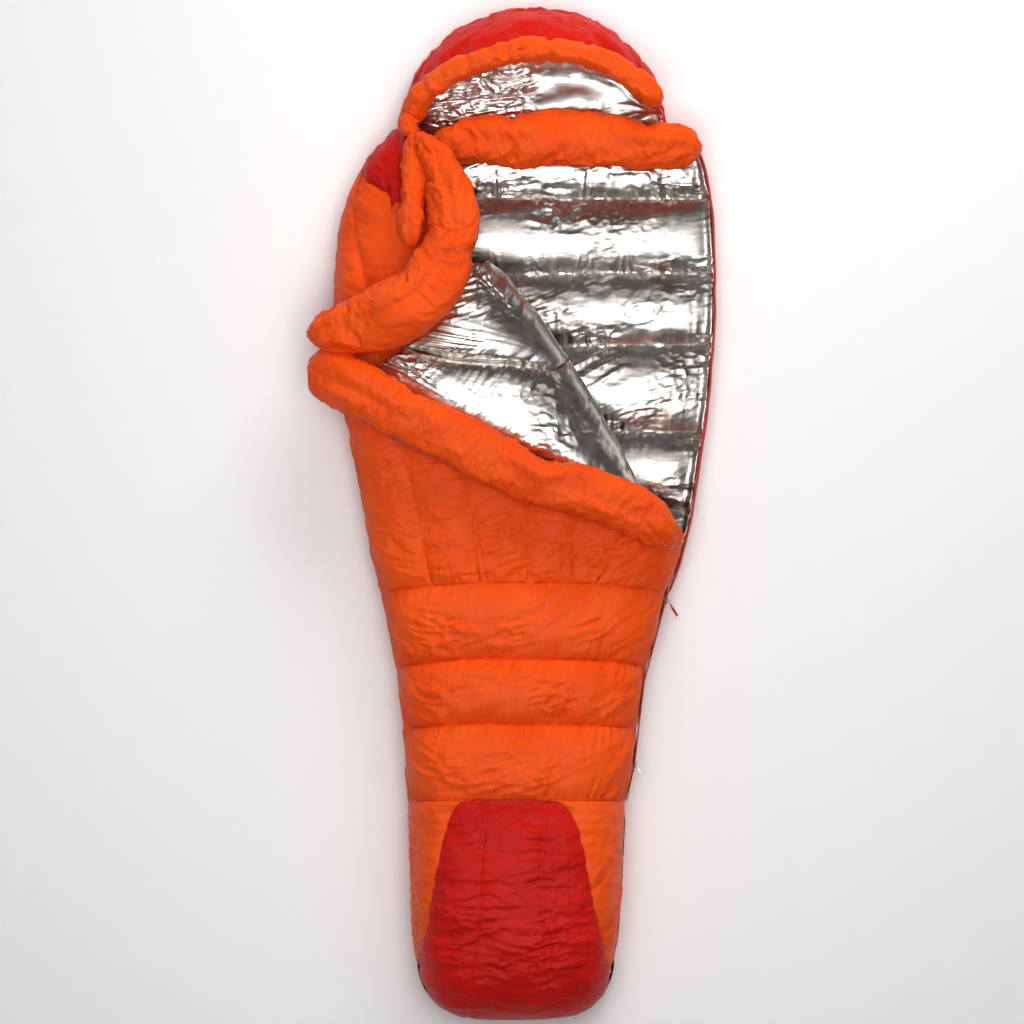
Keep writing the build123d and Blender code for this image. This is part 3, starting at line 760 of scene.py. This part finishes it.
def under_points(ys, columns, bottom_power=6.0):
    """Lower half of the bag, from its right edge round under to its left."""
    angle = np.linspace(0, pi, columns)[None, :]
    y = ys[:, None] + 0 * angle
    left, right = table(LEFT_EDGE, y), table(RIGHT_EDGE, y)
    x = (left + right) / 2 + (right - left) / 2 * rounded(np.cos(angle), bottom_power)
    z = BASE - BASE * rounded(np.sin(angle), bottom_power)
    return xyz(x, y, z)


MIDDLE = 30    # x of the bag's middle, which the seams draw the sides towards


def under(ys, seams, seed):
    """Quilted underside: seams draw it in at the sides and lift it off the floor a little."""
    x, y, z = np.moveaxis(under_points(ys, 260), -1, 0)
    away = np.min([np.abs(y - seam) for seam in seams], 0)
    rise = bulge(away, 45)
    x = MIDDLE + (x - MIDDLE) * (1 - (1 - rise) * 8 / np.maximum(np.abs(x - MIDDLE), 60))
    z = z + (1 - rise) * 7 * (z < 20)
    folds = pucker(x + z, away, seed, 16, 26, 1.6)
    z = z + np.abs(folds) * (z < 25)
    x = x + folds * (z >= 25) * np.sign(x)
    return xyz(x, y, np.maximum(z, 0.3))


def with_end(points, steps=7):
    """The underside with its head end closed by an upright wall of cloth that is a little rounded."""
    first, rows = points[0], []
    for t in np.linspace(1, 0, steps, endpoint=False):
        rows.append(xyz(first[:, 0] * (1 - 0.03 * t), first[:, 1] + 5 * np.sin(pi * t / 2),
                        first[:, 2] + (BASE + 8 - first[:, 2]) * t))
    return np.concatenate([np.array(rows), points])


piece("back_shell", [with_end(under(np.arange(785, -611, -5.5), BACK_SEAMS, 151))], "shell_orange",
      towards=(0, 0, -1),
      stands_for=[f"back_chamber_{i}" for i in range(1, 10)] + ["back_baffles"], slot="shell_orange")
piece("foot_back_cloth", [under(np.arange(-601, -932, -5.5), [-606, -931], 161)], "shell_orange",
      towards=(0, 0, -1), stands_for=["foot_back"])


piece("foot_sole_cloth", [sole(), sole_under()], "shell_red", stands_for=["foot_sole"])

# ---- silver lining of the back panel


def foil_folds(x, y, seed):
    """Crisp creases of the lining film, long and slanting, over broad soft dents."""
    warp = noise(x / 130, y / 130, seed + 1)
    long = creases(x / 60 + y / 150 + warp, y / 26 - x / 170 + warp, seed, 3, 0.8)
    fine = creases(x / 22 + warp, y / 15, seed + 5, 2, 0.8)
    patch = np.clip(0.5 + noise(x / 90, y / 60, seed + 9), 0, 1)
    return 3.0 * long * patch + 0.9 * fine * patch


QUILT_LOW, QUILT_SWELL, QUILT_EDGE = 32, 27, 46    # height at the seams, rise between, height at the side
QUILT_LEFT = -225


def back_quilt():
    sheets, details = [], []
    for i, (head, foot) in enumerate(zip(BACK_SEAMS[:6], BACK_SEAMS[1:7])):
        rows, columns = int((head - foot) / 2.6) + 2, 240
        v = shares(rows)
        u = np.linspace(0, 1, columns)[None, :]
        y = head + (foot - head) * v
        right = table(RIGHT_EDGE, y) - 1.5
        x = right + (QUILT_LEFT - right) * u
        y = y + 3 * (noise(x / 120, x * 0 + i, 171) * (1 - v) + noise(x / 120, x * 0 + i + 1, 171) * v)
        seam_away = np.minimum(v, 1 - v) * (head - foot)
        side_away = u * (right - QUILT_LEFT)
        loft = min(1.0, (head - foot) / 150)
        swell = 1 - np.abs(2 * v - 1) ** 2.2
        z = QUILT_LOW + QUILT_SWELL * swell * loft * (0.35 + 0.65 * bulge(side_away, 70))
        z = z + (QUILT_EDGE - QUILT_LOW) * np.exp(-(side_away / 9) ** 2)
        fine = pucker(x, seam_away, 181 + i, 17, 30, 4.2) + pucker(y, side_away, 191 + i, 15, 30, 2.6)
        details.append(fine + foil_folds(x, y, 201 + 10 * i) * bulge(seam_away, 30))
        sheets.append(xyz(x, y, z))
    return sheets, details


quilt, quilt_folds = back_quilt()
piece("back_quilt", quilt, "lining_silver", stands_for=["back_lining"], blow=(1.5, (0.04, 0.0, 0.0), 4),
      detail=quilt_folds)

# ---- flap

FLAP_TOP = 50         # height of the turned-back flap over the front panel
ROLL, ROLL_LOW = 85, 92    # how far in from the fold the flap starts to roll over, and the roll's underside
EDGE_REACH = [(0, 8), (160, 12), (235, 28), (330, 38), (440, 37), (560, 32), (640, 24), (700, 14), (735, 8)]


def flap_rows(low, high, rows, columns):
    """Plan points between two borders of the flap, from the fold to its far edge."""
    a, b = spline(low, columns), spline(high, columns)
    v = np.linspace(0, 1, rows)[:, None, None]
    return a[None] * (1 - v) + b[None] * v


def from_fold(x, y):
    """Distance in plan from the line of the fold."""
    return np.abs((x - FOLD_TOP[0]) * FOLD_SIDE[0] + (y - FOLD_TOP[1]) * FOLD_SIDE[1])


FAR_SIDE = [(-222, 334), (-170, 372), (-128, 425), (-100, 480), (-76, 512)]
MID_SEAM = [(-222, 334), (-107, 311), (16, 303), tuple(fold_point(452))]
LOW_SIDE = [(-285, 292), (-170, 212), (-40, 152), (80, 100), tuple(fold_point(765))]
LOW_UNDER = [(-296, 262), (-186, 184), (-56, 124), (64, 76), tuple(fold_point(805))]    # of the orange side


def upper_sheet():
    """The upper chamber's rows run from its far side to the fold, so its borders are seam and tip."""
    rows = []
    far, near = spline(FAR_SIDE, 100), spline([fold_point(way) for way in np.linspace(452, 188, 6)], 100)
    for a, b in zip(far, near):
        rows.append([a * (1 - t) + b * t for t in np.linspace(0, 1, 150)])
    return np.array(rows)


def flap_upper():
    flat = upper_sheet()
    seam = spline(MID_SEAM, 150)
    v = np.linspace(0, 1, 100)[:, None, None]
    flat = flat + (seam[None] - flat[:1]) * (1 - v)
    return flat


def build_flap(flat, seed, closed_top):
    x, y = flat[..., 0], flat[..., 1]
    across, down = arc(flat, 1), arc(flat, 0)
    seam_away = np.minimum(down, down[-1:] - down) if closed_top else down
    rise = bulge(seam_away, 62) * (0.45 + 0.55 * bulge(across, 60))
    z = crown(x, y) + FLAP_TOP - 22 + 28 * rise
    along_fold = (flat[:, -1] - FOLD_TOP) @ FOLD_WAY
    reach = np.interp(along_fold, *zip(*EDGE_REACH))[:, None]
    half_width, half_height = ROLL + reach, (z[:, -1:] - ROLL_LOW) / 1.7
    turned = np.clip((ROLL - from_fold(x, y)) / half_width, 0, 1)
    z = z - half_height * (1 - (1 - turned ** 1.5) ** (2 / 3))
    fine = pucker(across, seam_away, seed, 17, 32, 4.2) + pucker(down, across, seed + 3, 17, 75, 5.0)
    fine = fine + foil_folds(x, y, seed + 20) * bulge(seam_away, 30)
    top = xyz(x, y, z)
    begin = np.arcsin(turned[:, -1:])
    angle = begin + (0.74 * pi - begin) * np.linspace(0, 1, 35)[None, 1:]
    side = half_width * (np.sin(angle) - np.sin(begin))
    curl = np.stack([x[:, -1:] + FOLD_SIDE[0] * side, y[:, -1:] + FOLD_SIDE[1] * side,
                     z[:, -1:] - half_height * (np.cos(begin) - np.cos(angle))], -1)
    grid = np.concatenate([top, curl], 1)
    dents = 1.2 * foil_folds(grid[..., 0] * 0.6, grid[..., 2] + grid[..., 1], seed + 40)
    past = np.clip((np.arange(grid.shape[1]) - top.shape[1] + 10) / 10, 0, 1)
    fine = np.concatenate([fine, np.zeros((len(fine), curl.shape[1]))], 1) * (1 - past) + dents * past
    return grid, fine


upper = build_flap(flap_upper(), 211, False)
lower = build_flap(flap_rows(LOW_SIDE, MID_SEAM, 70, 180), 231, True)
piece("flap_quilt", [upper[0], lower[0]], "lining_silver", None, ["flap_lining", "fold_roll"],
      blow=(2.5, (0.05, 0.0, 0.0), 9), detail=[upper[1], lower[1]])


def flap_under():
    """The flap's orange side, which lies on the front panel."""
    sheets = []
    for flat, seed in ((flap_upper(), 241), (flap_rows(LOW_UNDER, MID_SEAM, 80, 180), 251)):
        x, y = flat[..., 0], flat[..., 1]
        across, down = arc(flat, 1), arc(flat, 0)
        edge = np.minimum(np.minimum(down, down[-1:] - down), across)
        z = crown(x, y) + 4 + 5 * (1 - bulge(edge, 45)) + np.abs(pucker(across, edge, seed, 16, 30, 2))
        z = z - 22 * np.exp(-(from_fold(x, y) / 34) ** 2) + 0.8 * nylon_folds(x, y, seed + 3)
        sheets.append(xyz(x, y, z))
    return sheets


piece("flap_shell", flap_under(), "shell_orange", None, stands_for=["flap_chamber_1", "flap_chamber_2"])


# ---- soft tubes: collars, draft tube and brim

def tube_points(stations, seed, gathers, cell=3.4, flat=2.3, slant=0.0, wave=16, broad=3.0, slack=1.0):
    """Stuffed tube through stations of (x, y, middle z, width, height), with folds that run across it.
    gathers are (distance along, depth) of places where it is drawn in."""
    p = np.array(stations, float)
    rough = norm(np.diff(p[:, :3], axis=0), axis=1).sum()
    rows = int(rough / cell) + 2
    route = spline(stations, rows)
    columns = int(max(p[:, 3] + p[:, 4]) * pi / 2 / cell) + 4
    way = np.gradient(route[:, :3], axis=0)
    way /= norm(way, axis=1, keepdims=True)
    side = np.cross(way, (0, 0, 1.0))
    side /= norm(side, axis=1, keepdims=True)
    up = np.cross(side, way)
    angle = np.linspace(0, 2 * pi, columns, endpoint=False)[None, :]
    along = arc(route[:, None, :3] * np.ones((1, 2, 1)), 0)[:, :1]
    tight = 1 - sum(depth * np.exp(-((along - place) / 9) ** 2) for place, depth in gathers)
    total = along[-1:]
    ends = bulge(np.minimum(along, total - along) + 0.3, np.minimum(route[:, 4:5], total / 3) * 0.6)
    ends = np.maximum(ends, 0.04)
    across = rounded(np.cos(angle), flat) * route[:, 3:4] / 2
    high = rounded(np.sin(angle), flat) * route[:, 4:5] / 2
    across, high = across * ends * tight, high * ends * tight
    across = across + 0.06 * route[:, 3:4] * noise(along / 90, along * 0 + seed, seed)
    points = (route[:, None, :3] + side[:, None] * across[..., None] + up[:, None] * high[..., None])
    lean = along + slant * np.abs((angle % pi) - pi / 2) * route[:, 3:4] * 0.5
    ring = np.stack([np.cos(angle) * 1.6, np.sin(angle) * 1.6], 0)
    patch = 0.55 + 0.45 * noise(along / 50, ring[1] * 2 + 4, seed + 2)
    folds = creases(lean / wave, ring[0] * 1.4 + 5, seed + 1, 3) * patch
    soft = creases(lean / (wave * 3.5), ring[1] + 3, seed + 3, 2)
    return points, (slack * 3.4 * folds + broad * soft) * ends


def resting(x, y, width, height, lift=4):
    """Station of a tube that lies on the front panel."""
    under = max(float(crown(x + step * width / 3, y)) for step in (-1, 0, 1))
    return (x, y, under + lift + height / 2, width, height)


def tube(name, stations, seed, stands_for, body="bag", gathers=(), blow=(3.0, 0.05, 10), **shape):
    points, folds = tube_points(stations, seed, gathers, **shape)
    piece(name, [points], "shell_orange", body, stands_for, ring=True, blow=blow, detail=[folds])


tube("draft_tube", [(-416, 300, 132, 56, 52), (-385, 288, 150, 104, 78), resting(-320, 256, 112, 76, 8),
                    resting(-236, 207, 104, 74, 8), resting(-186, 181, 104, 74, 8),
                    resting(-63, 119, 110, 74, 8),
                    resting(55, 72, 106, 74, 8), resting(197, 25, 102, 74, 8), resting(268, -6, 98, 68, 8),
                    resting(*fold_point(845, -14), 74, 58, 8), resting(*fold_point(885, -8), 34, 40, 8)],
     301, ["flap_draft_tube"], "flap", wave=24, broad=2.2, slack=0.8)
tube("back_collar_cloth", [(-170, 752, 80, 50, 48), (-125, 757, 86, 88, 62), (0, 768, 90, 112, 68),
                           (150, 766, 90, 112, 68), (280, 758, 88, 102, 66), (350, 752, 86, 86, 60),
                           (392, 746, 78, 48, 44)],
     311, ["back_collar"], slant=0.9, wave=22, broad=2.6)
tube("neck_tube_cloth", [(-203, 776, 160, 22, 26), resting(-203, 748, 38, 42), resting(-203, 705, 48, 52),
                         resting(-203, 640, 50, 58), resting(-206, 585, 48, 54), resting(-207, 540, 30, 36)],
     321, ["neck_tube"], wave=14, broad=2.0)
tube("collar_cloth", [(-194, 774, 166, 24, 28), (-176, 746, 180, 46, 50), (-156, 712, 190, 66, 64),
                      (-140, 672, 198, 82, 76), (-127, 620, 203, 94, 84), (-124, 575, 204, 96, 88),
                      resting(-134, 540, 102, 90), resting(-150, 498, 118, 94), resting(-188, 450, 132, 98),
                      resting(-246, 410, 136, 98), (-310, 386, 184, 112, 88), (-372, 374, 168, 88, 76),
                      (-418, 366, 152, 52, 50)],
     331, ["left_collar", "flap_collar"], None, wave=17, broad=4.5, slant=0.6)
brim_end = [(-200, 768, 146, 26, 30), (-214, 796, 112, 40, 42)]
tube("hood_brim_cloth", brim_end + [(x, y, z, 50, 50) for x, y, z in BRIM],
     351, ["hood_brim"], None,
     gathers=[(62, 0.10), (148, 0.16), (246, 0.08), (296, 0.15), (330, 0.17), (352, 0.12), (412, 0.18),
              (486, 0.15), (590, 0.08)],
     wave=19, broad=2.0, blow=(2.0, 0.02, 5))

# ---- yoke

chamber("yoke_cloth", [(None, 711), (-311, 716), (-258, 655), (-236, 597), (-168, 597)],
        [(None, 780), (-244, 790), (-232, 797), (-218, 802), (-192, 792)], "shell_red", dip=8, lift=5,
        reach=34, seed=361, stands_for=["shoulder_yoke"], closed=(True, True, False, False), gather=1.6,
        extra=lambda points, rise: 3.5 * creases(points[..., 0] / 26, points[..., 1] / 160, 365, 2))


# ---- hood

HOOD_BAND = 62    # height of the quilting line round the back of the hood
HOOD_LEFT, HOOD_RIGHT, HOOD_SEAM = -196, 314, 789    # where its lining meets the collar: x at the ends, and y
HOOD_SEAM_Z = 52


def hood_shell():
    """The hood's outside, from the floor up to the brim."""
    columns, rows = 260, 90
    angle = np.linspace(radians(-3), radians(183), columns)[None, :]
    v = shares(rows)
    brim = (np.array(BRIM)[:, :2] - HOOD_CENTRE) / HOOD_RADII[:2]
    order = np.argsort(np.arctan2(brim[:, 1], brim[:, 0]))
    edge = np.interp(angle, np.arctan2(brim[:, 1], brim[:, 0])[order], np.hypot(*brim.T)[order])
    climb = np.arccos(np.clip(edge, 0, 1)) * v ** 0.9
    ratio = np.cos(climb)
    x = HOOD_CENTRE[0] + HOOD_RADII[0] * ratio * np.cos(angle)
    y = HOOD_CENTRE[1] + HOOD_RADII[1] * ratio * np.sin(angle)
    z = HOOD_RADII[2] * np.sin(climb)
    points = xyz(x, y, z)
    amount = -3 + 3 * bulge(arc(points, 0)[-1:] - arc(points, 0), 40)
    gore = np.abs(x - 118 + (y - 950) * 0.05)
    amount = amount + (pucker(y + z, gore, 371, 20, 22, 1.2) - 4 * np.exp(-(gore / 7) ** 2)) * (z > 60)
    band = np.abs(z - HOOD_BAND) + 200 * (y < HOOD_CENTRE[1] + 20)
    amount = amount - 6 * np.exp(-(band / 7) ** 2) + pucker(angle * 190 + 0 * z, band, 375, 15, 26, 4.5)
    soft = 2.0 + 2.0 * np.exp(-(z / 65) ** 2)
    amount = amount + soft * creases(angle * 3.6 + 0.5 * noise(z / 50, angle * 3, 377), z / 40, 373, 3)
    return points, amount * np.clip(z / 25, 0, 1)


hood, hood_folds = hood_shell()
piece("hood_cloth", [hood], "hood_red", "hood", ["hood_crown", "hood_back"], slot="shell_red",
      blow=(1.5, 0.04, 8), detail=[hood_folds])


def hood_floor():
    """The part of the hood that lies on the floor."""
    angle = np.linspace(radians(-3), radians(183), 120)[None, :]
    share = np.linspace(0.99, 0.02, 40)[:, None]
    x = HOOD_CENTRE[0] + HOOD_RADII[0] * share * np.cos(angle)
    y = HOOD_CENTRE[1] + HOOD_RADII[1] * share * np.sin(angle)
    return xyz(x, y, 2 + 1.5 * creases(x / 60, y / 40, 379, 2) * (share < 0.95))


piece("hood_floor_cloth", [hood_floor()], "hood_red", "hood", slot="shell_red", towards=(0, 0, -1))


def hood_inside():
    """Silver inside of the hood: a soft cushion behind the collar that climbs to the brim."""
    columns, rows = 200, 80
    brim = spline(BRIM, columns)[None]
    v = shares(rows)
    x0 = np.linspace(HOOD_LEFT, HOOD_RIGHT, columns)[None, :]
    x = x0 + (brim[..., 0] - x0) * v
    y = HOOD_SEAM + (brim[..., 1] + 10 - HOOD_SEAM) * v
    z = HOOD_SEAM_Z + (brim[..., 2] - 2 - HOOD_SEAM_Z) * np.clip((v - 0.45) / 0.55, 0, 1) ** 2
    z = z + 24 * np.sin(pi * np.clip(v / 0.8, 0, 1)) * bulge(np.minimum(x0 - HOOD_LEFT, HOOD_RIGHT - x0), 120)
    soft = 7 * noise(x / 70, y / 45, 395) + 4 * noise(x / 34, y / 30, 396)
    return xyz(x, y, z), foil_folds(x, y, 381) * 1.8 + pucker(x, v * 170, 391, 14, 30, 3.5) + soft


inside, inside_folds = hood_inside()
piece("hood_quilt", [inside], "lining_silver", "hood", ["hood_lining"], blow=(2.5, (0.05, 0.0, 0.0), 9),
      detail=[inside_folds])

# ---- edging tape folded over the open side

def edging():
    ys = np.arange(783, -170, -6.0)
    xs = table(RIGHT_EDGE, ys) + 1.5 + 1.6 * noise(ys / 38, ys * 0, 401)
    stations = [(x, y, 50 + 2.5 * float(noise(np.array(y / 55), np.array(0.0), 402)), 5.2, 9.0)
                for x, y in zip(xs, ys)]
    return tube_points(stations, 403, (), cell=2.0, flat=2.6, wave=14, broad=0.2, slack=0.2)


piece("side_edging", [edging()[0]], "zip_tape", "bag", ["back_zip_tape"], fill=None, ring=True)

# ---- simulation, and the pieces with no body, whose placement is baked into their meshes

settle()
made = {item["name"]: build(item) for item in plan}


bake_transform(made["flap_quilt"])
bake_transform(made["flap_shell"])
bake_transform(made["collar_cloth"])
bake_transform(made["hood_brim_cloth"])

# ---- stitching along the seams

STITCH_PITCH, STITCH_LENGTH, THREAD_WIDTH, THREAD_HEIGHT = 5.0, 3.4, 0.9, 0.6
STITCH_FACES = ((0, 1, 4, 3), (1, 2, 5, 4), (0, 2, 1), (3, 4, 5))


def stitches(name, seams, cloths, material, body="bag"):
    """Thread along seams, given as rows of points. Each stitch is a small ridge on the nearest cloth."""
    vertices, faces = [], []
    for seam in seams:
        length = norm(np.diff(seam, axis=0), axis=1).sum()
        points = spline(seam, int(length / STITCH_PITCH) + 2)
        for a, b in zip(points, points[1:]):
            way = (b - a) / norm(b - a)
            aim = Vector((a + b) / 2 * MM)
            hits = [made[cloth].closest_point_on_mesh(aim)[1:3] for cloth in cloths]
            spot, up = min(hits, key=lambda hit: (hit[0] - aim).length)
            spot, up = np.array(spot) / MM, np.array(up)
            aside = np.cross(up, way)
            aside = aside / max(norm(aside), 1e-6)
            start = len(vertices)
            for end in (-1, 1):
                middle = spot + way * end * STITCH_LENGTH / 2
                vertices += [middle - aside * THREAD_WIDTH / 2, middle + up * THREAD_HEIGHT,
                             middle + aside * THREAD_WIDTH / 2]
            faces += [[start + k for k in side] for side in STITCH_FACES]
    mesh = bpy.data.meshes.new(name)
    mesh.from_pydata([tuple(vertex * MM) for vertex in vertices], [], faces)
    obj = add_object(name, mesh)
    obj.data.materials.append(materials[material])
    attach(obj, body)


def on_dome(points):
    return dome(*border(points, 40).T)


leg_cloths = ["chest_chamber_3"] + [f"leg_chamber_{i}" for i in (1, 2, 3)] + ["foot_centre"]
stitches("leg_stitches", [on_dome(leg_seam(*seam))[3:-3] for seam in LEG_SEAMS], leg_cloths, "thread_orange")
stitches("chest_stitches", [on_dome(seam)[1:-1] for seam in (SEAM_1, SEAM_2, SEAM_3, SEAM_4, SEAM_5)],
         [row[0] for row in CHEST], "thread_orange")
lining_seams = []
for y in BACK_SEAMS[1:6]:
    xs = np.linspace(-200, float(table(RIGHT_EDGE, y)) - 12, 20)
    lining_seams.append(np.array([(x, y, 36.0) for x in xs]))
stitches("lining_stitches", lining_seams, ["back_quilt"], "thread_beige")

# ---- what stays as its CAD shape gets its own material

FINISH = {"zip_tape": ["front_zip_tape", "closed_zip_tapes", "flap_zip_tape"],
          "zip_teeth": ["back_zip_teeth", "closed_zip_teeth", "flap_zip_teeth"],
          "zip_metal": ["upper_slider_body", "lower_slider_body", "upper_pull_eye", "zip_bottom_stop",
                        "zip_top_stop"],
          "tab_metal": ["lower_pull_tab"], "pull_grip": ["upper_pull_grip"],
          "lining_silver": ["chest_lining", "leg_lining"]}
for finish, names in FINISH.items():
    for name in names:
        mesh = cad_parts[name].data
        mesh.materials.clear()
        mesh.materials.append(materials[finish])
